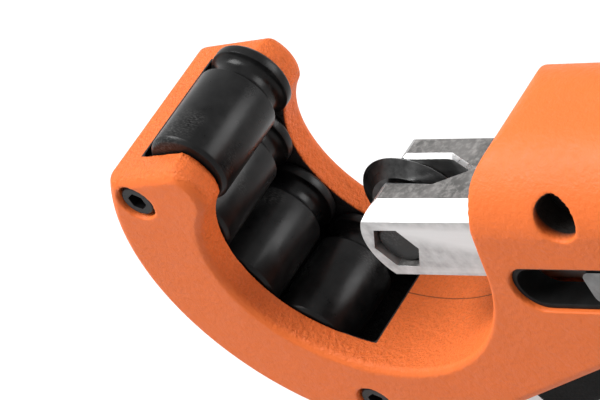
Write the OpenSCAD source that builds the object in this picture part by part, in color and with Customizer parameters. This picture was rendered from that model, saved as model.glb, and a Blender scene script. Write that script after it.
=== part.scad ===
// Pipe cutter: a C-frame of two cast shells with four rollers, and a sliding fork with a cutting wheel.
// Millimetres. The origin is the pipe axis on the mid-plane, with +X to the knob and +Z up.

/* [Rollers] */
// Outer diameter of a roller
roller_d = 19; // [17:0.5:21]
// Length of a roller
roller_length = 29.6; // [27:0.2:31]
// Space between neighbouring rollers
roller_gap = 0.65; // [0.4:0.05:1.2]
// Angle between neighbouring rollers, seen from the pipe axis
roller_step = 33.5; // [32:0.5:35]
// Width of the end flange
flange_width = 2.8; // [2:0.1:4]
// Width of the flare groove
groove_width = 5.2; // [4.5:0.1:7]
// Depth of the flare groove
groove_depth = 2.2; // [1:0.1:2.2]
// Chamfer on the ends of a roller
roller_chamfer = 0.8; // [0.3:0.1:1.5]
// Diameter of a roller pin
roller_pin_d = 6; // [4:0.5:8]
// How far a roller pin reaches into each side wall
roller_pin_hold = 4.6; // [3:0.2:5.5]

/* [Frame] */
// Width across the two flat sides
frame_width = 44; // [43:0.5:48]
// Metal behind the rollers
hook_wall = 5.2; // [4:0.2:8]
// How far the rollers stand out of the throat
roller_proud = 1.1; // [0.6:0.1:2]
// Radius of the throat's floor
floor_r = 43.2; // [42:0.2:46]
// Angle at which the hook's arc runs into the floor's arc
floor_start = 235; // [232:1:238]
// Angle of the round front of the hook's tip, seen from the pipe axis
tip_angle = 133.5; // [132:0.5:136]
// How far the round front of the tip reaches into the throat
tip_bulge = 0.4; // [0.3:0.1:0.8]
// Height of the tip's flat top above the middle of its round front
tip_rise = 6.9; // [6.2:0.1:7.6]
// Slope of the tip's flat top
tip_slope = 5; // [3:0.5:8]
// Rounding of the sides of the tip's round front
tip_fillet = 2.6; // [2.2:0.1:2.7]
// Rounding of the sides of the tip's flat top
tip_edge = 3.6; // [3.3:0.1:4.5]
// Rounding of the throat's rim
rim_fillet = 2.1; // [1.9:0.1:2.1]
// How much smaller the rim's own arc is, so that it fades out up the ramp
rim_fade = 0.8; // [0.8:0.1:1.2]
// Rounding of the frame's outer edges
edge_fillet = 3; // [2.8:0.1:3.2]
// Angle of the lip of the roller pocket's sloping end
pocket_end = 272; // [268:1:275]
// Slope of the underside behind the hook
spine_slope = 23; // [22:1:26]
// Height of the body's top above the slide's axis
body_top = 28.8; // [28.4:0.2:32]
// Rounding of the body's top edges
body_round = 17; // [14:1:19]
// Rounding of the body's front at the top
front_round = 9; // [5:0.5:14]
// Lean of the body's front
front_lean = 15; // [12:1:18]
// Wall under the slide
belly_wall = 5.4; // [4:0.2:7]
// Thickness of the rear wall
rear_wall = 10; // [10:0.5:16]
// Radius of the rear end
tail_r = 19.5; // [19:0.5:22]
// Length of the taper to the rear end
tail_length = 61; // [50:1:80]

/* [Frame screws] */
// Thread diameter
screw_d = 5; // [4:0.5:5]
// Head diameter
screw_head_d = 8.5; // [7:0.5:9]
// Head height
screw_head_h = 5; // [4:0.5:5.5]
// Width of the hexagon socket
screw_socket = 4; // [3:0.5:4.5]
// Depth of the hexagon socket
socket_depth = 2.6; // [2:0.1:3.4]
// Length of thread in the far shell
screw_bite = 10; // [6:0.5:12]
// Diameter of a counterbore
counterbore_d = 9.4; // [9.2:0.1:10]
// How far a head sits below the flat side
head_sunk = 0.7; // [0.2:0.1:1.2]
// How far the upper screw's head sits below the flat side
upper_head_sunk = 7; // [6.5:0.5:9]
// Height of the upper screw above the slide's axis
upper_screw_z = 17.4; // [17:0.1:19]
// Distance of the upper screw behind the front of the slot
upper_screw_back = 21; // [14:0.5:40]
// Angle of the lower screw, seen from the pipe axis
lower_screw_angle = 262; // [259:1:270]
// Wall between the lower screw's counterbore and the outer edge
lower_screw_wall = 4.8; // [3:0.2:5]
// Distance of the rear screws from the slide's axis
rear_screw_z = 13.5; // [13:0.1:13.8]

/* [Slide] */
// Width of the slide
slide_width = 24.5; // [23.5:0.5:26]
// Height of the slide
slide_height = 22.8; // [22:0.2:24]
// Bevel along the slide's edges
slide_bevel = 3.5; // [2:0.1:4]
// Radius of the slide's nose
nose_r = 12.4; // [12:0.1:14]
// Distance from the nose to the wheel's axle
nose_to_axle = 7.9; // [7.2:0.1:9]
// Distance from the pipe axis to the wheel's axle
axle_x = 19.9; // [19:0.1:22]
// Gap between the two tines
fork_gap = 7.4; // [6.6:0.1:8.4]
// Length of the point at the end of the gap
fork_point = 7.4; // [4:0.2:8]
// Distance from the wheel's edge to the end of the point
fork_room = 4.9; // [4:0.1:8]
// Travel from here towards the rollers
advance = 15; // [10:0.5:15]
// Travel from here towards the knob
retract = 28; // [20:0.5:32]

/* [Cutting wheel] */
// Diameter of the wheel
wheel_d = 29.2; // [27:0.2:30]
// Diameter of the wheel's hub
wheel_hub_d = 19; // [16:0.5:20]
// Thickness of the wheel's disc
wheel_disc = 4.8; // [3:0.2:5.6]
// Depth of the ground edge
wheel_grind = 3.6; // [2:0.2:4]
// Width of the cutting edge
wheel_edge = 0.2; // [0.1:0.05:0.4]
// Diameter of the axle
axle_d = 6; // [5:0.5:6.5]
// Wall of the wheel's bush
bush_wall = 1.2; // [0.8:0.1:2]
// Width across the flats of the axle's head and nut
hex_width = 10; // [9.5:0.1:10.6]
// Height of the axle's head
hex_head_h = 4; // [3:0.2:4.6]
// Height of the axle's nut
hex_nut_h = 4.8; // [3:0.2:5]
// How far the head and the nut sit below the tines' sides
hex_sunk = 1.3; // [0.5:0.1:2]

/* [Release lever] */
// Height of the slot
slot_height = 12.4; // [12:0.2:13.4]
// Height of the slot's middle line above the slide's axis
slot_z = -1.4; // [-1.8:0.1:0]
// Distance from the pipe axis to the front of the slot
slot_front = 56.5; // [56:0.1:60]
// Thickness of the frame's wall at the slot
slot_wall = 4; // [3.4:0.2:4.6]
// Wall of the slot's liner
liner_wall = 1.3; // [1:0.1:1.8]
// How far the liner and the pad sit below the flat side
liner_sunk = 1; // [0.8:0.1:2]
// Width and thickness of the liner's flange behind the frame's wall
liner_flange = 1.4; // [1:0.1:1.8]
// Length of the pad
pad_length = 18; // [15:0.5:22]
// Rounding of the pad's corners
pad_corner = 2.2; // [1.8:0.1:3]
// Thickness of the lever
lever_thick = 4.7; // [4.5:0.1:4.9]
// Distance from the pad to the pivot
pad_to_pivot = 4.5; // [4:0.1:6]
// Distance from the pivot to the jaw
pivot_to_jaw = 7; // [6:0.5:10]
// Length of the jaw
jaw_length = 10; // [6:0.5:14]
// Diameter of the pivot pin
lever_pin_d = 3; // [2:0.1:3]
// How far the pivot pin reaches into the slide on each side
lever_pin_hold = 2.2; // [1.6:0.1:2.3]
// Angle through which the lever turns
lever_turn = 7; // [5:0.5:7.5]

/* [Lever spring] */
// Outer diameter of the spring
spring_d = 5.6; // [4:0.1:5.8]
// Diameter of the wire
spring_wire = 0.7; // [0.5:0.05:0.8]
// Number of turns
spring_turns = 6; // [4:1:6]

/* [Feed screw] */
// Outer diameter of the thread
feed_d = 10; // [8:0.5:10.5]
// Pitch of the thread
feed_pitch = 2; // [1.5:0.25:3]
// Depth of the thread
feed_depth = 0.9; // [0.6:0.1:1.2]
// Diameter of the screw's collar
collar_d = 15; // [13:0.5:18]
// Length of the screw's collar
collar_length = 3; // [2:0.2:5]
// Diameter of the screw's journal
journal_d = 8; // [7.5:0.5:9]
// Outer diameter of the rear bush
rear_bush_d = 14; // [12:0.5:15]
// Thickness of a thrust washer
washer_thick = 1.2; // [0.8:0.1:2]

/* [Knob] */
// Diameter of the knob
knob_d = 42; // [38:1:50]
// Length of the knob
knob_length = 42; // [34:1:60]
// Rounding of the knob's ends
knob_round = 5; // [2:0.5:8]
// Number of finger flutes
flute_count = 10; // [6:1:14]
// Radius of a finger flute
flute_r = 5; // [3:0.5:6]
// Depth of a finger flute
flute_depth = 2.2; // [1:0.1:3]
// Depth of the recess for the knob's screw
knob_recess = 8; // [6.5:0.5:12]
// Room round the head of the knob's screw
knob_recess_room = 2; // [1:0.5:4]
// Thickness of the knob's web under the screw's head
knob_web = 4; // [3:0.5:8]

/* [Grip] */
// Width of the grip under the frame
grip_width = 34; // [28:1:36]
// Thickness of the grip under the slope
grip_thick = 9; // [7:0.5:11]
// Thickness of the grip under the body
grip_rear_thick = 6.5; // [5:0.5:8]
// Distance of the grip's front behind the pipe axis
grip_front = 36; // [30:1:42]
// Distance of the grip's rear end before the frame's rear end
grip_end_gap = 22; // [20:1:30]
// Number of finger scallops
scallop_count = 4; // [3:1:5]
// Depth of a finger scallop
scallop_depth = 2.4; // [1:0.1:3]

/* [Clearances] */
// Running clearance on a pin or journal
run_clear = 0.05; // [0.02:0.01:0.1]
// Clearance of a pressed or screwed piece
fit_clear = 0.02; // [0.01:0.01:0.05]
// Clearance round the slide
slide_clear = 0.15; // [0.1:0.05:0.3]
// Side clearance of a roller, a wheel or a lever
side_clear = 0.2; // [0.15:0.05:0.3]
// Clearance behind a roller
pocket_clear = 0.7; // [0.5:0.1:1.2]
// Clearance round the hex head and the nut
hex_clear = 0.35; // [0.1:0.05:0.4]
// Spare travel at each end of the slide
end_clear = 1.5; // [1:0.1:2]
// Spare travel of the pad in its slot
pad_clear = 2.6; // [2.4:0.1:3]

/* [Hidden] */
$fn = 64;
cut = 1;
far_reach = 400;
// An arc that runs into a line crosses it this deep, and runs on this far
overlap = 0.1;
overlap_angle = 12;
// An arc that runs into a wider arc runs on this far
rim_overlap = 2.3;
// The hook's arc runs on into its tip this far
tip_lead = 3;
// The spine's outline starts this many hook radii from the pipe axis
spine_reach = 1.2;
// The cone of the rear taper runs on to this many times its length
taper_reach = 3;
half_width = frame_width / 2;
// The casting is made this wide, then cut flat at its sides
rough_half = half_width + overlap;

// Rollers, on a circle about the pipe axis
function polar(r, angle) = [r * cos(angle), r * sin(angle)];
function roller_angle(k) = 180 + (k - 2.5) * roller_step;
function roller_place(k) = polar(roller_circle_r, roller_angle(k));
roller_count = 4;
roller_r = roller_d / 2;
roller_circle_r = (roller_d + roller_gap) / (2 * sin(roller_step / 2));
pocket_r = roller_circle_r + roller_r + pocket_clear;
pocket_half = roller_length / 2 + side_clear;
roller_pin_half = pocket_half + roller_pin_hold;

// Arcs of the hook and of the throat
mouth_angle = 60;
throat_r = roller_circle_r - roller_r + roller_proud;
hook_r = pocket_r + hook_wall;
floor_place = polar(throat_r - floor_r, floor_start);
floor_end = 360 - front_lean;
front_place = floor_place + polar(floor_r - overlap, floor_end);
rim_r = floor_r - rim_fade;
rim_place = polar(throat_r - rim_r, floor_start);
spine_end = 270 + spine_slope;
spine_place = polar(hook_r, spine_end);
tip_place = polar(roller_circle_r, tip_angle);
tip_r = roller_r - roller_proud + tip_bulge;
pocket_back = roller_angle(4) + asin((roller_r + pocket_clear) / roller_circle_r);

// Slide and its channel
slide_half = slide_width / 2;
channel_half = slide_half + slide_clear;
channel_top = slide_height / 2 + slide_clear;
belly_z = -channel_top - belly_wall;
belly_x = spine_place[0] + (belly_z - spine_place[1]) / tan(spine_slope);
nose_x = axle_x - nose_to_axle;
fork_end = axle_x + wheel_d / 2 + fork_room;
axle_r = axle_d / 2;
tine_in = fork_gap / 2;
head_floor = slide_half - hex_sunk - hex_head_h;
nut_floor = slide_half - hex_sunk - hex_nut_h;
bush_r = axle_r + run_clear + bush_wall;
hub_half = tine_in - side_clear;

// Release lever, its slot, and the slide behind it
slot_half = slot_height / 2;
liner_half = slot_half - fit_clear;
liner_in = liner_half - liner_wall;
pad_half = liner_in - 2 * side_clear;
pad_front = slot_front + liner_wall + advance + pad_clear;
pad_rear = pad_front + pad_length;
slot_rear = pad_rear + retract + pad_clear + liner_wall;
pivot_x = pad_rear + pad_to_pivot;
jaw_front = pivot_x + pivot_to_jaw;
jaw_rear = jaw_front + jaw_length;
slide_rear = jaw_rear + end_clear;
relief_y = half_width - slot_wall;
relief_half = slot_half + liner_flange + side_clear;
pad_out = half_width - liner_sunk;
lever_out = slide_half - side_clear;
lever_in = lever_out - lever_thick;
lever_front_in = lever_in + (pivot_x - pad_front) * tan(lever_turn) + side_clear;
lever_pocket_y = lever_in - side_clear;
pivot_y = -(lever_out + lever_in) / 2;
lever_half = pad_half + side_clear;
lever_pocket_half = lever_half + 2 * side_clear;
lever_swing = lever_out + (jaw_rear - pivot_x) * tan(lever_turn);
liner_deep = lever_swing + 2 * side_clear;
lever_pin_r = lever_pin_d / 2;
lever_pin_half = lever_pocket_half + lever_pin_hold;

// Spring between the slide and the bottom of a hole in the pad
spring_x = pad_front + pad_length / 3;
spring_hole_r = spring_d / 2 + 2 * side_clear;
spring_roof = pad_out - liner_sunk;
spring_coil_r = (spring_d - spring_wire) / 2;
spring_span = spring_roof - lever_pocket_y - spring_wire;
spring_rise = spring_span / spring_turns;
spring_gap = spring_rise - spring_wire;
spring_steps = 8;
spring_sides = 6;
assert(spring_gap > 0.4, "the spring's turns are too close");

// Feed screw and its bearing
feed_r = feed_d / 2;
feed_front = jaw_front - advance - end_clear;
bore_r = feed_r + 2 * side_clear;
bore_front = feed_front - retract - end_clear;
jaw_r = feed_r + side_clear + 2 * run_clear;
collar_front = slide_rear + retract + end_clear;
collar_rear = collar_front + collar_length;
collar_r = collar_d / 2;
journal_r = journal_d / 2;
wall_front = collar_rear + washer_thick;
frame_rear = wall_front + rear_wall;
thread_rings = floor((collar_front - feed_front) / feed_pitch);

// Knob and its screw
knob_front = frame_rear + washer_thick + run_clear;
knob_rear = knob_front + knob_length;
knob_r = knob_d / 2;
knob_recess_r = screw_head_d / 2 + knob_recess_room;
recess_front = knob_rear - knob_recess;
journal_rear = recess_front - knob_web;
knob_screw_length = knob_web + screw_bite;

// Frame screws: place along X and Z, and depth of the head's seat
screw_r = screw_d / 2;
tip_screw = polar(pocket_r - counterbore_d / 4, roller_angle(1.5));
tip_boss_r = norm(tip_screw - roller_place(1)) - roller_r - pocket_clear / 2;
lower_screw = polar(hook_r - lower_screw_wall - counterbore_d / 2, lower_screw_angle);
upper_screw_x = slot_front + upper_screw_back;
rear_screw_x = wall_front + rear_wall / 2;
flat_seat = half_width - head_sunk - screw_head_h;
upper_seat = half_width - upper_head_sunk - screw_head_h;
rear_seat = sqrt(pow(tail_r, 2) - pow(rear_screw_z + counterbore_d / 2, 2)) - head_sunk;
frame_screw_list = [
    [tip_screw[0], tip_screw[1], flat_seat],
    [lower_screw[0], lower_screw[1], flat_seat],
    [upper_screw_x, upper_screw_z, upper_seat],
    [rear_screw_x, rear_screw_z, rear_seat],
    [rear_screw_x, -rear_screw_z, rear_seat]
];

// Grip along the slope and under the body
grip_rear = frame_rear - grip_end_gap;
grip_nose = spine_place + (grip_front - spine_place[0]) / cos(spine_slope) * polar(1, spine_slope);
grip_drop = polar(grip_thick, spine_slope - 90);
grip_chin = grip_rear_thick / 2;
grip_level = belly_z - grip_rear_thick;
grip_bend_x = belly_x + grip_drop[0];
scallop_pitch = (grip_rear - grip_chin - grip_bend_x) / scallop_count;
scallop_r = (pow(scallop_pitch / 2, 2) / scallop_depth + scallop_depth) / 2;

// Shapes that repeat

// Extrudes an outline in X and Z from y0 to y1
module across(y0, y1) {
    translate([0, y1, 0]) rotate([90, 0, 0]) linear_extrude(y1 - y0) children();
}

// Extrudes an outline in Y and Z from x0 to x1
module along(x0, x1) {
    translate([x0, 0, 0]) rotate([90, 0, 90]) linear_extrude(x1 - x0) children();
}

// Turns an outline of radius and depth about an axis along Y, from one angle to another
module about_y(place, start = 0, end = 360) {
    translate([place[0], 0, place[1]]) rotate([90, 0, 0]) rotate([0, 0, start])
        rotate_extrude(angle = end - start, $fn = 128) children();
}

// Turns an outline of radius and length about the slide's axis
module about_x() {
    rotate([0, 90, 0]) rotate_extrude($fn = 96) children();
}

// A round bar along Y
module bar_y(place, r, y0, y1) {
    translate([place[0], y0, place[1]]) rotate([-90, 0, 0]) cylinder(r = r, h = y1 - y0);
}

// A round bar along X, on the slide's axis
module bar_x(r, x0, x1) {
    translate([x0, 0, 0]) rotate([0, 90, 0]) cylinder(r = r, h = x1 - x0);
}

// A hexagonal bar along Y, with a corner at the front
module hex_y(place, width, y0, y1) {
    translate([place[0], y0, place[1]]) rotate([-90, 0, 0])
        cylinder(d = width / cos(30), h = y1 - y0, $fn = 6);
}

// A strip from r0 to r1 whose two outer corners are rounded
module round_strip(r0, r1, half, fillet) {
    translate([r0, -half]) square([r1 - fillet - r0, 2 * half]);
    translate([r0, fillet - half]) square([r1 - r0, 2 * (half - fillet)]);
    for (side = [-1, 1])
        translate([r1 - fillet, side * (half - fillet)]) circle(fillet);
}

// A hollow that flares out with a round rim at both sides
module flared_strip(r) {
    difference() {
        translate([0, -half_width - cut]) square([r + rim_fillet, frame_width + 2 * cut]);
        translate([r, rim_fillet - rough_half]) square([rim_fillet + cut, 2 * (rough_half - rim_fillet)]);
        for (side = [-1, 1])
            translate([r + rim_fillet, side * (rough_half - rim_fillet)]) circle(rim_fillet);
    }
}

// The slide's outline in Y and Z, with bevelled corners
module slide_outline(half, top) {
    polygon([[-half, slide_bevel - top], [slide_bevel - half, -top], [half - slide_bevel, -top],
        [half, slide_bevel - top], [half, top - slide_bevel], [half - slide_bevel, top],
        [slide_bevel - half, top], [-half, top - slide_bevel]]);
}

// A slot's outline with round ends
module slot_outline(x0, x1, half) {
    translate([x0 + half, slot_z - half]) square([x1 - x0 - 2 * half, 2 * half]);
    for (x = [x0 + half, x1 - half])
        translate([x, slot_z]) circle(half);
}

// A block's outline in X and Z about the slot's middle line
module slot_block(x0, x1, half) {
    translate([x0, slot_z - half]) square([x1 - x0, 2 * half]);
}

// A cap screw along its own axis, with the seat of its head at zero and the thread going down
module cap_screw(length) {
    difference() {
        union() {
            cylinder(d = screw_head_d, h = screw_head_h);
            translate([0, 0, -length]) cylinder(r = screw_r, h = length + cut);
        }
        translate([0, 0, screw_head_h - socket_depth])
            cylinder(d = screw_socket / cos(30), h = socket_depth + cut, $fn = 6);
    }
}

// The frame before it is split

// The hook's arc and the round front of its tip, under a flat top
module hook() {
    intersection() {
        union() {
            about_y([0, 0], tip_angle - tip_lead, spine_end + overlap_angle)
                round_strip(throat_r - roller_proud, hook_r, rough_half, edge_fillet);
            about_y(tip_place) round_strip(0, tip_r, rough_half, tip_fillet);
        }
        translate([tip_place[0], 0, tip_place[1]]) rotate([0, -tip_slope, 0])
            along(-far_reach, far_reach) rotate(90) round_strip(-far_reach, tip_rise, rough_half, tip_edge);
    }
}

// Everything above the sloping underside, with its edges rounded
module above_slope() {
    translate([spine_place[0], 0, spine_place[1]]) rotate([0, -spine_slope, 0])
        along(-far_reach, far_reach) rotate(-90) round_strip(-far_reach, -overlap, rough_half, edge_fillet);
}

module spine() {
    below = spine_reach * spine_place;
    intersection() {
        across(-frame_width, frame_width) polygon([[0, 0], below, [belly_x, below[1]], [belly_x, 0]]);
        above_slope();
    }
}

// The body's outline in X and Z; the throat cuts its lower front
module body_outline() {
    round_z = body_top - front_round;
    round_x = front_place[0] + (round_z - front_place[1]) * tan(front_lean) + front_round / cos(front_lean);
    start = front_place[0] - rim_fillet;
    polygon([[start, 0], [belly_x, 0], [belly_x, belly_z], [frame_rear, belly_z], [frame_rear, body_top],
        [round_x, body_top], [round_x, round_z] + polar(front_round, 180 - front_lean), front_place,
        [start, front_place[1]]]);
    translate([round_x, round_z]) circle(front_round);
}

module body() {
    corner_r = norm([half_width, body_top]);
    intersection() {
        across(-frame_width, frame_width) body_outline();
        along(0, far_reach) rotate(90) round_strip(-far_reach, body_top, rough_half, body_round);
        along(0, far_reach) rotate(-90) round_strip(-far_reach, -belly_z, rough_half, edge_fillet);
        translate([frame_rear, 0, 0]) rotate([0, -90, 0])
            cylinder(r1 = tail_r, r2 = tail_r + taper_reach * (corner_r - tail_r), h = taper_reach * tail_length);
    }
}

// The hook's part of the throat, down to the floor
module throat_hook() {
    about_y([0, 0], mouth_angle, floor_start + rim_overlap) flared_strip(throat_r);
}

module throat_floor() {
    about_y(floor_place, floor_start, floor_end + overlap_angle)
        translate([0, -half_width - cut]) square([floor_r, frame_width + 2 * cut]);
}

// The round rim of the floor, which fades out up the ramp
module throat_rim() {
    about_y(rim_place, floor_start, floor_end + rim_overlap) flared_strip(rim_r);
}

// The same rim, straight on up the body's front
module front_rim() {
    translate([rim_place[0], 0, rim_place[1]]) rotate([90, 0, 0]) rotate([0, 0, floor_end])
        translate([0, far_reach, 0]) rotate([90, 0, 0]) linear_extrude(far_reach) flared_strip(rim_r);
}

module pocket() {
    about_y([0, 0], mouth_angle, pocket_back) translate([0, -pocket_half]) square([pocket_r, 2 * pocket_half]);
}

// The end of the pocket slopes up from behind the last roller
module pocket_slope() {
    back_r = roller_circle_r + roller_r;
    half = pocket_half - side_clear;
    across(-half, half)
        polygon([polar(throat_r - cut, roller_angle(4)), polar(back_r, roller_angle(4)),
            polar(back_r, pocket_back - cut), polar(throat_r - cut, pocket_end)]);
}

// Room for the wheel when the slide is drawn back
module wheel_room() {
    r = wheel_d / 2 + 2 * side_clear;
    half = wheel_disc / 2 + 2 * side_clear;
    across(-half, half) {
        translate([axle_x, -r]) square([retract, 2 * r]);
        translate([axle_x + retract, 0]) circle(r);
    }
}

// The near shell of the casting, before its own holes; the far shell is its mirror image
module shell() {
    difference() {
        intersection() {
            union() {
                hook();
                spine();
                body();
            }
            translate([-far_reach / 2, -half_width, -far_reach / 2]) cube([far_reach, half_width, far_reach]);
        }
        throat_hook();
        throat_floor();
        throat_rim();
        front_rim();
        pocket();
        pocket_slope();
        along(axle_x, wall_front) slide_outline(channel_half, channel_top);
        wheel_room();
        bar_x(rear_bush_d / 2 + fit_clear, wall_front - cut, frame_rear + cut);
        for (k = [1:roller_count])
            bar_y(roller_place(k), roller_pin_d / 2 + fit_clear, -roller_pin_half, roller_pin_half);
    }
}

// The pieces of the frame

module frame_near_half() {
    color("#dd6a33") difference() {
        union() {
            shell();
            bar_y(tip_screw, tip_boss_r, -pocket_half - cut, 0);
        }
        across(-relief_y, cut) slot_block(slot_front - liner_flange - side_clear, wall_front, relief_half);
        across(-half_width - cut, -relief_y + cut) slot_outline(slot_front, slot_rear, slot_half);
        for (s = frame_screw_list) {
            bar_y(s, counterbore_d / 2, -half_width - cut, -s[2]);
            bar_y(s, screw_r + fit_clear, -s[2] - cut, cut);
        }
    }
}

module frame_far_half() {
    color("#dd6a33") difference() {
        union() {
            mirror([0, 1, 0]) shell();
            bar_y(tip_screw, tip_boss_r, 0, pocket_half + cut);
        }
        for (s = frame_screw_list)
            bar_y(s, screw_r + fit_clear, -cut, screw_bite);
    }
}

module frame_screws() {
    color("#2b2b2d")
        for (s = frame_screw_list)
            translate([s[0], -s[2], s[1]]) rotate([90, 0, 0]) cap_screw(s[2] + screw_bite);
}

module slot_liner() {
    color("#1d1d1f") difference() {
        union() {
            across(-pad_out, -liner_deep)
                slot_outline(slot_front + fit_clear, slot_rear - fit_clear, liner_half);
            across(-relief_y, -relief_y + liner_flange)
                slot_outline(slot_front - liner_flange, slot_rear + liner_flange, slot_half + liner_flange);
        }
        across(-half_width, 0) slot_outline(slot_front + liner_wall, slot_rear - liner_wall, liner_in);
    }
}

module rear_bush() {
    color("#b08d4a") difference() {
        bar_x(rear_bush_d / 2, wall_front, frame_rear);
        bar_x(journal_r + run_clear, wall_front - cut, frame_rear + cut);
    }
}

module thrust_washers() {
    color("#8d9095")
        for (x = [collar_rear, frame_rear])
            difference() {
                bar_x(collar_r, x, x + washer_thick);
                bar_x(journal_r + 2 * side_clear, x - cut, x + washer_thick + cut);
            }
}

// The grip follows the slope, then runs level under the body
module grip_pad() {
    color("#1a1a1b") difference() {
        across(-grip_width / 2, grip_width / 2)
            polygon([grip_nose, grip_nose + grip_drop, [belly_x, belly_z] + grip_drop, [grip_bend_x, grip_level],
                [grip_rear - grip_chin, grip_level], [grip_rear, grip_level + grip_chin],
                [grip_rear, belly_z], [belly_x, belly_z]]);
        for (k = [1:scallop_count])
            bar_y([grip_bend_x + (k - 0.5) * scallop_pitch, grip_level + scallop_depth - scallop_r], scallop_r,
                -half_width, half_width);
    }
}

// The rollers

module roller(k) {
    half = roller_length / 2;
    bore = roller_pin_d / 2 + run_clear;
    groove_far = half - flange_width - groove_depth;
    groove_near = half - flange_width - groove_width + groove_depth;
    color("#333335") about_y(roller_place(k)) mirror([0, 1]) difference() {
        polygon([[bore, -half], [roller_r - roller_chamfer, -half], [roller_r, roller_chamfer - half],
            [roller_r, half - roller_chamfer], [roller_r - roller_chamfer, half], [bore, half]]);
        translate([roller_r - groove_depth, groove_near]) square([roller_r, groove_far - groove_near]);
        for (h = [groove_near, groove_far])
            translate([roller_r, h]) circle(groove_depth);
    }
}

module roller_pins() {
    color("#8d9095")
        for (k = [1:roller_count])
            bar_y(roller_place(k), roller_pin_d / 2, -roller_pin_half, roller_pin_half);
}

// The slide with its wheel

module slide_side() {
    translate([nose_x + nose_r, 0]) circle(nose_r);
    translate([nose_x + nose_r, -nose_r]) square([slide_rear - nose_x - nose_r, 2 * nose_r]);
}

module slide() {
    axle = [axle_x, 0];
    color("#a7abb0") difference() {
        intersection() {
            along(nose_x, slide_rear) slide_outline(slide_half, slide_height / 2);
            across(-slide_half, slide_half) slide_side();
        }
        translate([0, 0, -slide_height]) linear_extrude(2 * slide_height)
            polygon([[0, -tine_in], [fork_end - fork_point, -tine_in], [fork_end, 0],
                [fork_end - fork_point, tine_in], [0, tine_in]]);
        bar_y(axle, axle_r + fit_clear, -slide_half, slide_half);
        hex_y(axle, hex_width + 2 * hex_clear, -slide_half - cut, -head_floor);
        hex_y(axle, hex_width + 2 * hex_clear, nut_floor, slide_half + cut);
        bar_x(bore_r, bore_front, slide_rear + cut);
        across(-slide_half - cut, -lever_pocket_y)
            slot_block(pad_front - end_clear, slide_rear + cut, lever_pocket_half);
        across(-lever_pocket_y - cut, 0)
            slot_block(jaw_front - end_clear, slide_rear + cut, lever_pocket_half);
        translate([pivot_x, pivot_y, slot_z - lever_pin_half])
            cylinder(r = lever_pin_r + fit_clear, h = 2 * lever_pin_half);
    }
}

module cutter_wheel() {
    wheel_r = wheel_d / 2;
    half = wheel_disc / 2;
    edge = wheel_edge / 2;
    bore = bush_r + fit_clear;
    hub = wheel_hub_d / 2;
    color("#b9bcc1") about_y([axle_x, 0])
        polygon([[bore, -hub_half], [hub, -hub_half], [hub, -half], [wheel_r - wheel_grind, -half],
            [wheel_r, -edge], [wheel_r, edge], [wheel_r - wheel_grind, half], [hub, half], [hub, hub_half],
            [bore, hub_half]]);
}

module wheel_bush() {
    color("#b08d4a") difference() {
        bar_y([axle_x, 0], bush_r, -hub_half, hub_half);
        bar_y([axle_x, 0], axle_r + run_clear, -hub_half - cut, hub_half + cut);
    }
}

module wheel_bolt() {
    axle = [axle_x, 0];
    color("#2b2b2d") {
        hex_y(axle, hex_width, -head_floor - hex_head_h, -head_floor);
        bar_y(axle, axle_r, -head_floor - cut, nut_floor + hex_nut_h);
    }
}

module wheel_nut() {
    axle = [axle_x, 0];
    color("#8d9095") difference() {
        hex_y(axle, hex_width, nut_floor, nut_floor + hex_nut_h);
        bar_y(axle, axle_r + fit_clear, nut_floor - cut, nut_floor + hex_nut_h + cut);
    }
}

// The release lever: a pad in the slot, a pivot, and a jaw round the feed screw
module release_lever() {
    color("#77797d") difference() {
        union() {
            across(-pad_out, -lever_out) {
                slot_block(pad_front + pad_corner, pad_rear - pad_corner, pad_half);
                slot_block(pad_front, pad_rear, pad_half - pad_corner);
                for (x = [pad_front + pad_corner, pad_rear - pad_corner], side = [-1, 1])
                    translate([x, slot_z + side * (pad_half - pad_corner)]) circle(pad_corner);
            }
            translate([0, 0, slot_z - lever_half]) linear_extrude(2 * lever_half)
                polygon([[pad_front, -lever_out], [jaw_rear, -lever_out], [jaw_rear, -jaw_r / 2],
                    [jaw_front, -jaw_r / 2], [jaw_front, -lever_in], [pivot_x, -lever_in],
                    [pad_front, -lever_front_in]]);
        }
        bar_x(jaw_r, jaw_front - cut, jaw_rear + cut);
        translate([pivot_x, pivot_y, slot_z - slot_height])
            cylinder(r = lever_pin_r + run_clear, h = 2 * slot_height);
        bar_y([spring_x, slot_z], spring_hole_r, -spring_roof, 0);
    }
}

module lever_pin() {
    color("#8d9095") translate([pivot_x, pivot_y, slot_z - lever_pin_half])
        cylinder(r = lever_pin_r, h = 2 * lever_pin_half);
}

// The spring is a tube swept along a helix, closed at both ends
module lever_spring() {
    rings = spring_turns * spring_steps + 1;
    points = [for (i = [0:rings - 1], j = [0:spring_sides - 1])
        let (turn = 360 * i / spring_steps, side = 360 * j / spring_sides,
            r = spring_coil_r + spring_wire / 2 * cos(side),
            h = spring_rise * i / spring_steps + spring_wire / 2 * sin(side))
        [r * cos(turn), r * sin(turn), h]];
    walls = [for (i = [0:rings - 2], j = [0:spring_sides - 1])
        let (a = i * spring_sides, b = a + spring_sides, n = (j + 1) % spring_sides)
        [a + j, b + j, b + n, a + n]];
    first_end = [for (j = [0:spring_sides - 1]) j];
    last_end = [for (j = [spring_sides - 1:-1:0]) (rings - 1) * spring_sides + j];
    echo("least gap between the spring's turns", spring_gap);
    color("#9a9da2") translate([spring_x, -lever_pocket_y - spring_wire / 2, slot_z]) rotate([90, 0, 0])
        polyhedron(points, concat(walls, [first_end, last_end]));
}

// The feed screw with its knob

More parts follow.
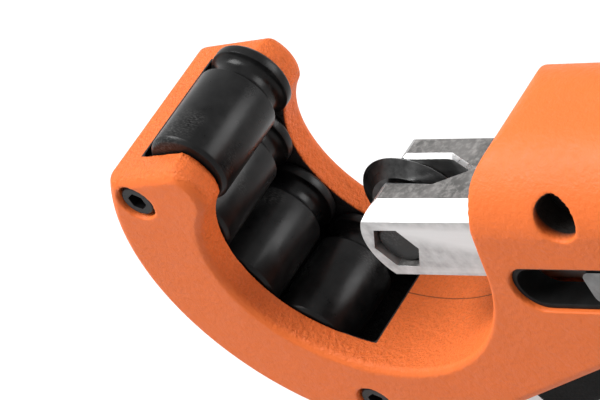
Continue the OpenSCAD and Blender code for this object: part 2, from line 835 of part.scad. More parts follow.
module feed_screw() {
    root_r = feed_r - feed_depth;
    thread = [for (k = [0:thread_rings - 1], p = [[0, root_r], [0.5, feed_r]])
        [p[1], feed_front + (k + p[0]) * feed_pitch]];
    color("#6f7277") difference() {
        about_x() polygon(concat([[0, feed_front]], thread, [[root_r, feed_front + thread_rings * feed_pitch],
            [root_r, collar_front], [collar_r, collar_front], [collar_r, collar_rear], [journal_r, collar_rear],
            [journal_r, journal_rear], [0, journal_rear]]));
        bar_x(screw_r + fit_clear, journal_rear - screw_bite, journal_rear + cut);
    }
}

module knob() {
    color("#1d1d1f") difference() {
        about_x() {
            translate([0, knob_front]) square([knob_r - knob_round, knob_length]);
            translate([0, knob_front + knob_round]) square([knob_r, knob_length - 2 * knob_round]);
            for (x = [knob_front + knob_round, knob_rear - knob_round])
                translate([knob_r - knob_round, x]) circle(knob_round);
        }
        for (k = [1:flute_count])
            rotate([360 * k / flute_count, 0, 0]) translate([0, 0, knob_r - flute_depth + flute_r])
                bar_x(flute_r, knob_front - cut, knob_rear + cut);
        bar_x(journal_r + fit_clear, knob_front - cut, journal_rear);
        bar_x(screw_r + side_clear, journal_rear - cut, knob_rear);
        bar_x(knob_recess_r, recess_front, knob_rear + cut);
    }
}

module knob_screw() {
    color("#2b2b2d") translate([recess_front, 0, 0]) rotate([0, 90, 0]) cap_screw(knob_screw_length);
}

frame_near_half();
frame_far_half();
frame_screws();
roller(1);  // roller_1
roller(2);  // roller_2
roller(3);  // roller_3
roller(4);  // roller_4
roller_pins();
slide();
cutter_wheel();
wheel_bush();
wheel_bolt();
wheel_nut();
slot_liner();
release_lever();
lever_pin();
lever_spring();
feed_screw();
rear_bush();
thrust_washers();
knob();
knob_screw();
grip_pad();
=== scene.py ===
"""Pipe cutter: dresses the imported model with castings, turned steel, plastic and rubber, on a pale stage."""

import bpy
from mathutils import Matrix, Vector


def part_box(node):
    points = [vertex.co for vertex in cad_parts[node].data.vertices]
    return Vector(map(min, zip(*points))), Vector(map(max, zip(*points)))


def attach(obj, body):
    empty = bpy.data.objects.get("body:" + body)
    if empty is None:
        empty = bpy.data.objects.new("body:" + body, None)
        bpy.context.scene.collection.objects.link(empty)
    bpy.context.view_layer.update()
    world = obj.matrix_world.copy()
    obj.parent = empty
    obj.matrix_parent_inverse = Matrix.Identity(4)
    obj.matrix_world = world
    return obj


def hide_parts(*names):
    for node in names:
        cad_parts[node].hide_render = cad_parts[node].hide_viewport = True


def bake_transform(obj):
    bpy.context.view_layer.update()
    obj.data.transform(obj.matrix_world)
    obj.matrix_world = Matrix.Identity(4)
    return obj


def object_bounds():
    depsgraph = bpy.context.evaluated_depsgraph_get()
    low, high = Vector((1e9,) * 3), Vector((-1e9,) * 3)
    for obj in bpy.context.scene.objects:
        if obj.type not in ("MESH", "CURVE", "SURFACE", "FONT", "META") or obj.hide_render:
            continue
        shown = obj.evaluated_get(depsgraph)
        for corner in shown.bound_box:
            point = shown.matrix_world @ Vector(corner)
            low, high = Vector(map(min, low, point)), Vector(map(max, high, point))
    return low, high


bl_info = {
    "name": "Pipe cutter",
    "version": (1, 0, 0),
    "blender": (4, 5, 0),
    "location": "View3D > Sidebar > Pipe Cutter",
    "description": "Models the shells, rollers, slide, wheel, lever, knob and grip, and sets a stage",
    "category": "Object",
}

import math

import bpy
from bpy.props import FloatProperty, FloatVectorProperty, IntProperty, PointerProperty
from mathutils import Matrix, Vector

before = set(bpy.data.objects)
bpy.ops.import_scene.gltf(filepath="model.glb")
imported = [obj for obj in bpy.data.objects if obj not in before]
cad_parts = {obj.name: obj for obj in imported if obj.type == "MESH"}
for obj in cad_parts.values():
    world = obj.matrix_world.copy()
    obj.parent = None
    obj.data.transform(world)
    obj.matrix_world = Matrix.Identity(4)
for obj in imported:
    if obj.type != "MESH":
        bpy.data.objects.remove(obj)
cad_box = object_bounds()

MM = 0.001
AXIS_X = Vector((1, 0, 0))
AXIS_Y = Vector((0, 1, 0))
AXIS_Z = Vector((0, 0, 1))
RING_SIDES = 96
WELD = 0.001 * MM
CAD_WELD = 0.002 * MM


def middle(node):
    """The middle of a node's box at rest."""
    low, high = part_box(node)
    return (low + high) / 2


def reach(node):
    """The three sides of a node's box at rest."""
    low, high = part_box(node)
    return high - low


# Settings that a user would change


class CastingSettings(bpy.types.PropertyGroup):
    """The two painted shells."""

    voxel: FloatProperty(
        name="Voxel", description="Size of the cells in which the shells are recast",
        default=0.4 * MM, unit="LENGTH", precision=5)
    passes: IntProperty(
        name="Softening", description="How often the recast edges are smoothed", default=8, min=0)
    share: FloatProperty(
        name="Share of faces", description="Share of the recast faces that is kept",
        default=0.44, min=0.05, max=1, subtype="FACTOR")
    # The pocket settings place the painted shade inside the roller pocket.
    pocket_half: FloatProperty(
        name="Pocket half", description="Half the width of the roller pocket, in millimetres", default=15.1)
    pocket_radius: FloatProperty(
        name="Pocket radius", description="Radius of the roller pocket, in millimetres", default=44.7)
    slope_place: FloatVectorProperty(
        name="Slope", description="Foot of the pocket's sloping end, x and z in millimetres", size=2,
        default=(-17.3, -40))
    slope_angle: FloatProperty(
        name="Slope angle", description="Angle of the pocket's sloping end, in degrees", default=40)
    # The upper bore's axis places the painted shade in that bore.
    bore_place: FloatVectorProperty(
        name="Upper bore", description="Axis of the upper screw's bore, x and z in millimetres", size=2,
        default=(77.5, 17.4))
    colour: FloatVectorProperty(
        name="Paint", description="Colour of the paint", subtype="COLOR", default=(0.8, 0.162, 0.03))


class RollerSettings(bpy.types.PropertyGroup):
    """The four rollers."""

    flange: FloatProperty(
        name="Flange", description="Width of the end flange", default=2.8 * MM, unit="LENGTH", precision=5)
    groove: FloatProperty(
        name="Groove", description="Width of the flare groove", default=5.2 * MM, unit="LENGTH", precision=5)
    depth: FloatProperty(
        name="Depth", description="Depth of the flare groove", default=2.2 * MM, unit="LENGTH", precision=5)
    chamfer: FloatProperty(
        name="Chamfer", description="Chamfer on the ends", default=0.8 * MM, unit="LENGTH", precision=5)
    bore: FloatProperty(
        name="Bore", description="Radius of the bore", default=3.05 * MM, unit="LENGTH", precision=5)
    edge: FloatProperty(
        name="Broken edge", description="Rounding of the turned edges", default=0.22 * MM, unit="LENGTH",
        precision=5)


class SlideSettings(bpy.types.PropertyGroup):
    """The sliding fork, its wheel and the bolt."""

    edge: FloatProperty(
        name="Broken edge", description="Rounding of the milled edges", default=0.15 * MM, unit="LENGTH",
        precision=5)
    gap: FloatProperty(
        name="Gap", description="Gap between the two tines", default=7.4 * MM, unit="LENGTH", precision=5)
    mouth: FloatProperty(
        name="Gap chamfer", description="Chamfer along the top and the bottom of the gap", default=0.9 * MM,
        unit="LENGTH", precision=5)
    hub: FloatProperty(
        name="Hub", description="Radius of the wheel's hub", default=9.5 * MM, unit="LENGTH", precision=5)
    disc: FloatProperty(
        name="Disc", description="Thickness of the wheel's disc", default=4.8 * MM, unit="LENGTH",
        precision=5)
    grind: FloatProperty(
        name="Grind", description="Depth of the ground edge", default=3.6 * MM, unit="LENGTH", precision=5)
    bore: FloatProperty(
        name="Bore", description="Radius of the wheel's bore", default=4.27 * MM, unit="LENGTH", precision=5)
    hex_chamfer: FloatProperty(
        name="Hexagon chamfer", description="Height of the round chamfer on the head and the nut",
        default=0.7 * MM, unit="LENGTH", precision=5)


class ScrewSettings(bpy.types.PropertyGroup):
    """The cap screws of the frame and of the knob."""

    head: FloatProperty(
        name="Head", description="Height of the head", default=5 * MM, unit="LENGTH", precision=5)
    shank: FloatProperty(
        name="Shank", description="Radius of the shank", default=2.5 * MM, unit="LENGTH", precision=5)
    socket: FloatProperty(
        name="Socket", description="Width of the hexagon socket", default=4 * MM, unit="LENGTH", precision=5)
    socket_depth: FloatProperty(
        name="Socket depth", description="Depth of the hexagon socket", default=2.6 * MM, unit="LENGTH",
        precision=5)
    chamfer: FloatProperty(
        name="Chamfer", description="Chamfer of the head", default=0.5 * MM, unit="LENGTH", precision=5)


class FeedSettings(bpy.types.PropertyGroup):
    """The feed screw and the lever's spring."""

    pitch: FloatProperty(
        name="Pitch", description="Pitch of the thread", default=2 * MM, unit="LENGTH", precision=5)
    radius: FloatProperty(
        name="Thread", description="Outer radius of the thread", default=5 * MM, unit="LENGTH", precision=5)
    depth: FloatProperty(
        name="Depth", description="Depth of the thread", default=0.9 * MM, unit="LENGTH", precision=5)
    length: FloatProperty(
        name="Length", description="Length of the thread", default=57.5 * MM, unit="LENGTH", precision=5)
    collar: FloatProperty(
        name="Collar", description="Length of the collar", default=3 * MM, unit="LENGTH", precision=5)
    journal: FloatProperty(
        name="Journal", description="Radius of the journal", default=4 * MM, unit="LENGTH", precision=5)
    wire: FloatProperty(
        name="Wire", description="Diameter of the spring's wire", default=0.7 * MM, unit="LENGTH",
        precision=5)
    turns: IntProperty(name="Turns", description="Turns of the spring", default=6, min=2)


class HandleSettings(bpy.types.PropertyGroup):
    """The knob, the grip, the liner and the lever."""

    voxel: FloatProperty(
        name="Voxel", description="Size of the cells in which the knob and the grip are moulded",
        default=0.55 * MM, unit="LENGTH", precision=5)
    passes: IntProperty(
        name="Softening", description="How often the moulded edges are smoothed", default=10, min=0)
    share: FloatProperty(
        name="Share of faces", description="Share of the moulded faces that is kept", default=0.5, min=0.05,
        max=1, subtype="FACTOR")
    edge: FloatProperty(
        name="Broken edge", description="Rounding of the edges of the liner and the lever",
        default=0.35 * MM, unit="LENGTH", precision=5)


class StageSettings(bpy.types.PropertyGroup):
    """The floor, the lamps and the camera."""

    lens: FloatProperty(
        name="Lens", description="Focal length of the camera", default=192, unit="CAMERA")
    key: FloatProperty(name="Key", description="Power of the lamp overhead", default=16, unit="POWER")
    side: FloatProperty(
        name="Side", description="Power of the lamp behind the knob's end", default=7, unit="POWER")
    fill: FloatProperty(
        name="Fill", description="Power of the wide lamp at the near side", default=0.7, unit="POWER")
    ambient: FloatProperty(
        name="Ambient", description="Strength of the even light from all sides", default=0.2, min=0)


SETTINGS = (
    ("cutter_casting", CastingSettings),
    ("cutter_roller", RollerSettings),
    ("cutter_slide", SlideSettings),
    ("cutter_screw", ScrewSettings),
    ("cutter_feed", FeedSettings),
    ("cutter_handle", HandleSettings),
    ("cutter_stage", StageSettings),
)


# Selecting and shaping


def deselect():
    """Leaves edit mode and selects nothing."""
    if bpy.context.object and bpy.context.object.mode != "OBJECT":
        bpy.ops.object.mode_set(mode="OBJECT")
    bpy.ops.object.select_all(action="DESELECT")


def pick(piece):
    """Selects one piece alone and makes it active."""
    deselect()
    piece.select_set(True)
    bpy.context.view_layer.objects.active = piece


def edit(piece, kind="EDGE"):
    """Opens a piece in edit mode with everything selected."""
    pick(piece)
    bpy.ops.object.mode_set(mode="EDIT")
    bpy.ops.mesh.select_mode(type=kind)
    bpy.ops.mesh.select_all(action="SELECT")


def modify(piece, kind, **values):
    """Adds a modifier to a piece, sets it and applies it."""
    pick(piece)
    modifier = piece.modifiers.new(kind.lower(), kind)
    for name, value in values.items():
        setattr(modifier, name, value)
    bpy.ops.object.modifier_apply(modifier=modifier.name)


def settle(piece, name):
    """Names a new primitive and puts its place into its mesh."""
    pick(piece)
    bpy.ops.object.transform_apply(location=True, rotation=True, scale=True)
    piece.name = name
    piece.data.name = name
    return piece


def soften(piece, width, angle=25):
    """Rounds every edge that is sharper than the angle."""
    edit(piece)
    bpy.ops.mesh.select_all(action="DESELECT")
    bpy.ops.mesh.edges_select_sharp(sharpness=math.radians(angle))
    bpy.ops.mesh.bevel(offset=width, segments=2, affect="EDGES", clamp_overlap=True)
    bpy.ops.object.mode_set(mode="OBJECT")


def cad_copy(node, name):
    """A copy of a node's mesh with its loose triangles joined."""
    piece = bpy.data.objects.new(name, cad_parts[node].data.copy())
    bpy.context.scene.collection.objects.link(piece)
    piece.data.name = name
    pick(piece)
    if piece.data.has_custom_normals:
        bpy.ops.mesh.customdata_custom_splitnormals_clear()
    piece.data.materials.clear()
    edit(piece, "VERT")
    bpy.ops.mesh.remove_doubles(threshold=CAD_WELD)
    bpy.ops.object.mode_set(mode="OBJECT")
    return piece


def copied(piece, name):
    """A copy of a piece with its own mesh."""
    copy = bpy.data.objects.new(name, piece.data.copy())
    bpy.context.scene.collection.objects.link(copy)
    copy.data.name = name
    return copy


def joined(first, other):
    """Joins a piece into the first."""
    pick(first)
    other.select_set(True)
    bpy.ops.object.join()
    return first


def choose(piece, kind, wanted):
    """Opens a piece in edit mode with the vertices or edges selected that are wanted."""
    edit(piece, kind)
    bpy.ops.mesh.select_all(action="DESELECT")
    bpy.ops.object.mode_set(mode="OBJECT")
    vertices = piece.data.vertices
    if kind == "VERT":
        for vertex in vertices:
            vertex.select = wanted(vertex.co)
    else:
        for line in piece.data.edges:
            ends = [vertices[i] for i in line.vertices]
            if all(wanted(end.co) for end in ends):
                line.select = True
                for end in ends:
                    end.select = True
    bpy.ops.object.mode_set(mode="EDIT")


def carve(piece, tool, operation="DIFFERENCE"):
    """Cuts a piece with a tool and removes the tool."""
    modify(piece, "BOOLEAN", object=tool, operation=operation, solver="EXACT")
    bpy.data.objects.remove(tool)


def part_at(piece, place, ahead):
    """Cuts a piece square across X and keeps the part ahead of the cut, or the part behind."""
    edit(piece)
    bpy.ops.mesh.bisect(
        plane_co=(place, 0, 0), plane_no=AXIS_X, use_fill=True, clear_inner=ahead, clear_outer=not ahead)
    bpy.ops.object.mode_set(mode="OBJECT")


def moulding(piece, settings):
    """Recasts a piece in small cells and smooths it."""
    modify(piece, "REMESH", mode="VOXEL", voxel_size=settings.voxel)
    modify(piece, "SMOOTH", factor=0.5, iterations=settings.passes)
    modify(piece, "DECIMATE", ratio=settings.share)


def wound(name, points, rise, turns, steps, closed):
    """Winds an outline of radius and height about Z, rising with each turn."""
    radius, height = points[0]
    deselect()
    bpy.ops.mesh.primitive_circle_add(vertices=3, radius=MM)
    piece = settle(bpy.context.object, name)
    edit(piece, "VERT")
    bpy.ops.mesh.merge(type="CENTER")
    bpy.ops.transform.translate(value=(radius, 0, height))
    for next_radius, next_height in points[1:]:
        bpy.ops.mesh.extrude_vertices_move(
            TRANSFORM_OT_translate={"value": (next_radius - radius, 0, next_height - height)})
        radius, height = next_radius, next_height
    if closed:
        bpy.ops.mesh.select_all(action="SELECT")
        bpy.ops.mesh.remove_doubles(threshold=WELD)
    modify(piece, "SCREW", axis="Z", screw_offset=rise, iterations=turns, steps=steps, render_steps=steps,
           use_merge_vertices=True, merge_threshold=WELD)
    edit(piece, "VERT")
    bpy.ops.mesh.remove_doubles(threshold=WELD)
    if closed:
        bpy.ops.mesh.fill_holes(sides=0)
    bpy.ops.mesh.normals_make_consistent(inside=False)
    bpy.ops.object.mode_set(mode="OBJECT")
    return piece


def flat_faces(piece):
    """Joins the triangles of flat faces."""
    edit(piece, "FACE")
    bpy.ops.mesh.dissolve_limited(angle_limit=math.radians(0.5))
    bpy.ops.object.mode_set(mode="OBJECT")


def turned(name, centre, axis, profile, sides=RING_SIDES, closed=True):
    """A turned piece: a circle drawn out ring by ring along its axis.

    A profile row is a radius and a place on the axis. A closed profile ends where it starts; the ends of
    any other are filled."""
    turn = axis.to_track_quat("Z", "Y").to_euler()
    across = Vector((1, 1, 1)) - axis
    radius, place = profile[0]
    deselect()
    bpy.ops.mesh.primitive_circle_add(
        vertices=sides, radius=radius, fill_type="NOTHING", location=centre + axis * place, rotation=turn)
    piece = settle(bpy.context.object, name)
    edit(piece)
    if not closed:
        bpy.ops.mesh.edge_face_add()
        edit(piece)
    for next_radius, next_place in profile[1:]:
        bpy.ops.mesh.extrude_edges_move(
            TRANSFORM_OT_translate={"value": axis * (next_place - place)})
        scale = axis + across * (next_radius / radius)
        bpy.ops.transform.resize(value=scale, center_override=centre + axis * next_place)
        radius, place = next_radius, next_place
    if not closed:
        bpy.ops.mesh.edge_face_add()
    bpy.ops.mesh.select_all(action="SELECT")
    bpy.ops.mesh.remove_doubles(threshold=WELD)
    bpy.ops.mesh.normals_make_consistent(inside=False)
    bpy.ops.object.mode_set(mode="OBJECT")
    return piece


def arc(centre, radius, start, end, steps=8):
    """Points on an arc of a profile, as radius and place."""
    angles = [math.radians(start + (end - start) * i / steps) for i in range(steps + 1)]
    return [(centre[0] + radius * math.sin(a), centre[1] + radius * math.cos(a)) for a in angles]


def dress(piece, finish, body, node, angle=30, flat=False):
    """Shades a finished piece, with its flat faces kept flat if asked, paints it and hands it to the frame.

    A piece that is to be blended between two bodies comes without a body."""
    pick(piece)
    bpy.ops.object.shade_smooth_by_angle(angle=math.radians(angle))
    if flat:
        modify(piece, "WEIGHTED_NORMAL", weight=100, keep_sharp=True)
    piece.data.materials.clear()
    piece.data.materials.append(finish_of(finish))
    if body:
        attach(piece, body)
    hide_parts(node)
    deselect()


def paint(node, finish):
    """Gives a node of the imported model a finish."""
    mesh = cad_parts[node].data
    mesh.materials.clear()
    mesh.materials.append(finish_of(finish))


# Finishes


class Finish:
    """A material of nodes on Object coordinates."""

    def __init__(self, name, **sockets):
        self.material = bpy.data.materials.new(name)
        self.material.use_nodes = True
        self.tree = self.material.node_tree
        self.shader = self.tree.nodes["Principled BSDF"]
        self.place = self.add("TexCoord").outputs["Object"]
        for name, value in sockets.items():
            self.shader.inputs[name.replace("_", " ")].default_value = value

    def add(self, kind, inputs=None, **settings):
        """Adds a node; an input that is a socket is linked, any other is set."""
        node = self.tree.nodes.new("ShaderNode" + kind)
        for name, value in settings.items():
            setattr(node, name, value)
        for key, value in (inputs or {}).items():
            if isinstance(value, bpy.types.NodeSocket):
                self.tree.links.new(value, node.inputs[key])
            else:
                node.inputs[key].default_value = value
        return node

    def into(self, name, socket):
        """Links a socket into the shader."""
        self.tree.links.new(socket, self.shader.inputs[name])

    def stretched(self, scale):
        """Object coordinates stretched along the axes."""
        return self.add("Mapping", {"Vector": self.place, "Scale": scale}).outputs[0]

    def noise(self, scale, detail=3, vector=None, roughness=0.5):
        """A noise from 0 to 1."""
        return self.add("TexNoise", {"Vector": vector or self.place, "Scale": scale, "Detail": detail,
                                     "Roughness": roughness}).outputs[0]

    def ranged(self, value, low, high, to_low=0, to_high=1):
        """A value moved from one range to another."""
        return self.add("MapRange", {"Value": value, "From Min": low, "From Max": high, "To Min": to_low,
                                     "To Max": to_high}).outputs[0]

    def mixed(self, share, one, other):
        """A colour between two."""
        return self.add("Mix", {0: share, 6: one, 7: other}, data_type="RGBA").outputs[2]

    def bump(self, height, distance, strength=1, under=None):
        """A normal from a height; under is a normal that it lies on."""
        inputs = {"Height": height, "Distance": distance, "Strength": strength}
        if under:
            inputs["Normal"] = under
        return self.add("Bump", inputs).outputs[0]

    def sum(self, operation, one, other=0.0):
        """One step of arithmetic."""
        return self.add("Math", {0: one, 1: other}, operation=operation).outputs[0]

    def product(self, *shares):
        """Shares multiplied together."""
        total = shares[0]
        for share in shares[1:]:
            total = self.sum("MULTIPLY", total, share)
        return total

    def length(self, one, other):
        """The length of a step along two axes."""
        squares = [self.sum("MULTIPLY", step, step) for step in (one, other)]
        return self.sum("SQRT", self.sum("ADD", *squares))

    def below(self, value, edge, blur):
        """1 up to an edge, and 0 past it by the blur."""
        return self.ranged(value, edge, edge + blur, 1, 0)

    def split(self):
        """Object coordinates as x, y and z in millimetres."""
        parts = self.add("SeparateXYZ", {0: self.place}).outputs
        return [self.sum("DIVIDE", part, MM) for part in parts]

    def edges(self):
        """How far a point lies on an outer edge."""
        return self.ranged(self.add("NewGeometry").outputs["Pointiness"], 0.53, 0.62)


def opaque(colour, share=1):
    """A share of a colour, with its alpha."""
    return (*[part * share for part in colour], 1)


def grey(level):
    """A grey with its alpha."""
    return (level, level, level, 1)


def pocket_shade_share(finish, settings):
    """1 inside the roller pocket, which is painted near-black as painted shade."""
    x, y, z = finish.split()
    back_x, back_z = settings.slope_place
    turn = math.radians(settings.slope_angle)
    along = finish.sum("MULTIPLY", finish.sum("SUBTRACT", x, back_x), math.sin(turn))
    down = finish.sum("MULTIPLY", finish.sum("SUBTRACT", z, back_z), math.cos(turn))
    blur = 0.15
    between_walls = finish.below(finish.sum("ABSOLUTE", y), settings.pocket_half, blur)
    above_floor = finish.below(finish.length(x, z), settings.pocket_radius, blur)
    before_slope = finish.below(finish.sum("SUBTRACT", along, down), 0.2, blur)
    return finish.product(between_walls, above_floor, before_slope)


def bore_shade_share(finish, settings):
    """1 deep in the upper screw's bore, rising with depth, where painted shade makes it near-black."""
    x, y, z = finish.split()
    aside = finish.sum("SUBTRACT", x, settings.bore_place[0])
    above = finish.sum("SUBTRACT", z, settings.bore_place[1])
    in_bore = finish.below(finish.length(aside, above), 4.9, 0.2)
    deep = finish.ranged(y, -21.4, -19.4)
    return finish.product(in_bore, deep)


def seam_share(finish):
    """1 on the fine joint of the shells along the throat's floor."""
    x, y, z = finish.split()
    line = finish.below(finish.sum("ABSOLUTE", y), 0.1, 0.12)
    before_body = finish.below(x, 36, 10)
    under_slide = finish.below(z, -14, 4)
    over_foot = finish.ranged(z, -34, -33)
    return finish.product(line, before_body, under_slide, over_foot)


def throat_share(finish):
    """1 between the flat sides around the throat, where the cast skin is rough, and less elsewhere."""
    x, y = finish.split()[:2]
    between_sides = finish.below(finish.sum("ABSOLUTE", y), 20.2, 1.4)
    before_body = finish.below(x, 34, 16)
    return finish.ranged(finish.product(between_sides, before_body), 0, 1, 0.3, 1)


def orange_paint_and_shade(settings):
    """Satin paint over a wrinkled cast skin; the roller pocket and the upper bore are painted near-black as
    painted shade.
    """
    finish = Finish("orange_paint_and_shade", Specular_IOR_Level=0.25)
    rough = throat_share(finish)
    wrinkle = finish.sum("MULTIPLY", finish.noise(850, 4, roughness=0.65), rough)
    colour = settings.colour
    pits = finish.ranged(finish.sum("MULTIPLY", finish.noise(1300, 2), rough), 0.42, 0.62)
    body = finish.mixed(finish.ranged(finish.noise(70, 4), 0.3, 0.7), opaque(colour, 0.95), opaque(colour))
    skin = finish.mixed(pits, body, opaque(colour, 0.88))
    lined = finish.mixed(seam_share(finish), skin, opaque(colour, 0.3))
    # Painted shade: the upper bore turns near-black with depth.
    bore_shaded = finish.mixed(bore_shade_share(finish, settings), lined, (0.01, 0.008, 0.007, 1))
    # Painted shade: the roller pocket is coloured near-black.
    finish.into("Base Color", finish.mixed(pocket_shade_share(finish, settings), bore_shaded, (0.012, 0.011, 0.011, 1)))
    finish.into("Roughness", finish.ranged(finish.noise(420, 3), 0.3, 0.7, 0.46, 0.58))
    grain = finish.bump(finish.noise(2200, 2, roughness=0.6), 0.05 * MM, 0.35)
    finish.into("Normal", finish.bump(wrinkle, 0.8 * MM, 1, grain))
    return finish.material


def black_oxide(name="black_oxide"):
    """Blackened steel with fine turning lines across the axis and a dull sheen."""
    finish = Finish(name, Specular_IOR_Level=0.14)
    lines = finish.noise(1, 3, finish.stretched((120, 5200, 120)))
    stain = finish.noise(260, 5, roughness=0.6)
    ground = finish.mixed(
        finish.ranged(stain, 0.35, 0.7), (0.004, 0.004, 0.0042, 1), (0.01, 0.01, 0.0102, 1))
    specks = finish.ranged(finish.noise(1, 2, finish.stretched((1500, 5000, 1500))), 0.45, 0.75)
    worn = finish.sum("MULTIPLY", specks, finish.ranged(finish.noise(75, 2), 0.54, 0.72))
    finish.into("Base Color", finish.mixed(worn, ground, (0.075, 0.074, 0.073, 1)))
    finish.into("Roughness", finish.ranged(stain, 0.3, 0.7, 0.26, 0.36))
    finish.into("Normal", finish.bump(lines, 0.02 * MM, 0.5))
    return finish.material


def steel(name, dark, light, roughness, stretch):
    """Worked steel: scratches along one axis over a cloudy ground, and bright edges."""
    finish = Finish(name, Metallic=1)
    scratches = finish.noise(1, 4, finish.stretched(stretch), 0.65)
    clouds = finish.noise(330, 5, roughness=0.6)
    ground = finish.mixed(finish.ranged(clouds, 0.35, 0.65), grey(dark), grey(light))
    finish.into("Base Color", finish.mixed(finish.edges(), ground, grey(min(1, light * 1.3))))
    finish.into("Roughness", finish.ranged(scratches, 0.3, 0.7, roughness - 0.07, roughness + 0.07))
    finish.into("Normal", finish.bump(scratches, 0.015 * MM, 0.5))
    return finish.material


def scaled_steel():
    """Steel with the dark mottled scale of its hardening left on."""
    finish = Finish("scaled_steel", Metallic=0.75)
    spots = finish.noise(650, 6, roughness=0.7)
    clouds = finish.noise(140, 3)
    ground = finish.mixed(
        finish.ranged(clouds, 0.35, 0.65), (0.09, 0.088, 0.085, 1), (0.17, 0.165, 0.16, 1))
    finish.into("Base Color", finish.mixed(finish.ranged(spots, 0.45, 0.7), ground, (0.3, 0.29, 0.28, 1)))
    finish.into("Roughness", finish.ranged(spots, 0.3, 0.7, 0.38, 0.55))
    finish.into("Normal", finish.bump(spots, 0.04 * MM, 0.5))
    return finish.material


def bronze():
    """Sintered bronze."""
    finish = Finish("sintered_bronze", Metallic=1)
    grains = finish.noise(2600, 2)
    finish.into("Base Color", finish.mixed(grains, (0.35, 0.2, 0.07, 1), (0.55, 0.36, 0.15, 1)))
    finish.into("Roughness", finish.ranged(grains, 0.3, 0.7, 0.38, 0.52))
    finish.into("Normal", finish.bump(grains, 0.02 * MM, 0.4))
    return finish.material


def moulded(name, dark, light, roughness, scale, depth):
    """Moulded plastic or rubber with a fine eroded texture."""
    finish = Finish(name, Specular_IOR_Level=0.07)
    spark = finish.noise(scale, 3)
    dust = finish.noise(180, 4)
    finish.into("Base Color", finish.mixed(finish.ranged(dust, 0.35, 0.7), grey(dark), grey(light)))
    finish.into("Roughness", finish.ranged(spark, 0.3, 0.7, roughness - 0.06, roughness + 0.08))
    finish.into("Normal", finish.bump(spark, depth * MM, 0.5))
    return finish.material


FINISHES = {}


def finish_of(name):
    """A finish by its name, made when it is first asked for."""
    makers = {
        "orange_paint_and_shade": lambda: orange_paint_and_shade(bpy.context.scene.cutter_casting),
        "black_oxide": black_oxide,
        "screw_black": lambda: black_oxide("screw_black"),
        "scaled_steel": scaled_steel,
        # Ground chamfers with a painted highlight: much lighter than the ground sides.
        "chamfer_highlight_steel": lambda: steel("chamfer_highlight_steel", 0.86, 0.93, 0.3, (60, 900, 900)),
        "ground_steel": lambda: steel("ground_steel", 0.28, 0.44, 0.42, (90, 900, 900)),
        "dark_steel": lambda: steel("dark_steel", 0.09, 0.16, 0.36, (2200, 160, 160)),
        "wheel_steel": lambda: steel("wheel_steel", 0.025, 0.06, 0.32, (150, 4200, 150)),
        "plated_steel": lambda: steel("plated_steel", 0.42, 0.6, 0.3, (700, 700, 700)),
        "sintered_bronze": bronze,
        "black_plastic": lambda: moulded("black_plastic", 0.007, 0.014, 0.45, 2300, 0.03),
        "black_rubber": lambda: moulded("black_rubber", 0.002, 0.005, 0.62, 1700, 0.05),
    }
    if name not in FINISHES:
        FINISHES[name] = makers[name]()
    return FINISHES[name]


# Pieces


class CUTTER_OT_castings(bpy.types.Operator):
    """Recasts the two shells with soft edges"""

    bl_idname = "cutter.castings"
    bl_label = "Castings"

    def execute(self, context):
        near = cad_copy("frame_near_half", "whole_casting")
        far = cad_copy("frame_far_half", "far_blank")
        self.reach_over(near, MM)
        self.reach_over(far, -MM)
        whole = joined(near, far)
        moulding(whole, context.scene.cutter_casting)
        for side in ("near", "far"):
            piece = copied(whole, f"{side}_casting")
            self.halve(piece, 1 if side == "far" else -1)
            dress(piece, "orange_paint_and_shade", "frame", f"frame_{side}_half", angle=60)
        bpy.data.objects.remove(whole)
        return {"FINISHED"}

    def halve(self, whole, side):
        """Keeps the half of the casting on one side of the mid-plane, by means of a block larger than it."""
        low, high = cad_box
        size = (high - low) * 1.2
        deselect()
        bpy.ops.mesh.primitive_cube_add(size=1, location=((low.x + high.x) / 2, side * size.y / 2, 0))
        bpy.context.object.scale = (size.x, size.y, 3 * size.z)
        carve(whole, settle(bpy.context.object, "half_space"), "INTERSECT")

    def reach_over(self, shell, step):
        """Moves the face on the mid-plane across it, so that the two shells overlap."""
        choose(shell, "VERT", lambda place: abs(place.y) < WELD)
        bpy.ops.transform.translate(value=(0, step, 0))
        bpy.ops.object.mode_set(mode="OBJECT")


class CUTTER_OT_rollers(bpy.types.Operator):
    """Turns one roller and copies it to the four places"""

    bl_idname = "cutter.rollers"
    bl_label = "Rollers"

    def execute(self, context):
        settings = context.scene.cutter_roller
        half = reach("roller_1").y / 2
        radius = reach("roller_1").x / 2
        lip = half - settings.flange
        near = lip - settings.groove
        depth = settings.depth
        chamfer = settings.chamfer
        profile = [
            (settings.bore, -half), (radius - chamfer, -half), (radius, chamfer - half),
            *arc((radius, near + depth), depth, 180, 270), *arc((radius, lip - depth), depth, 270, 360),
            (radius, half - chamfer), (radius - chamfer, half), (settings.bore, half), (settings.bore, -half)]
        first = turned("roller_blank", Vector(), AXIS_Y, profile)
        soften(first, settings.edge)
        for k in range(1, 5):
            node = f"roller_{k}"
            piece = copied(first, f"turned_{node}")
            piece.location = middle(node)
            settle(piece, piece.name)
            dress(piece, "black_oxide", node, node)
        bpy.data.objects.remove(first)
        return {"FINISHED"}


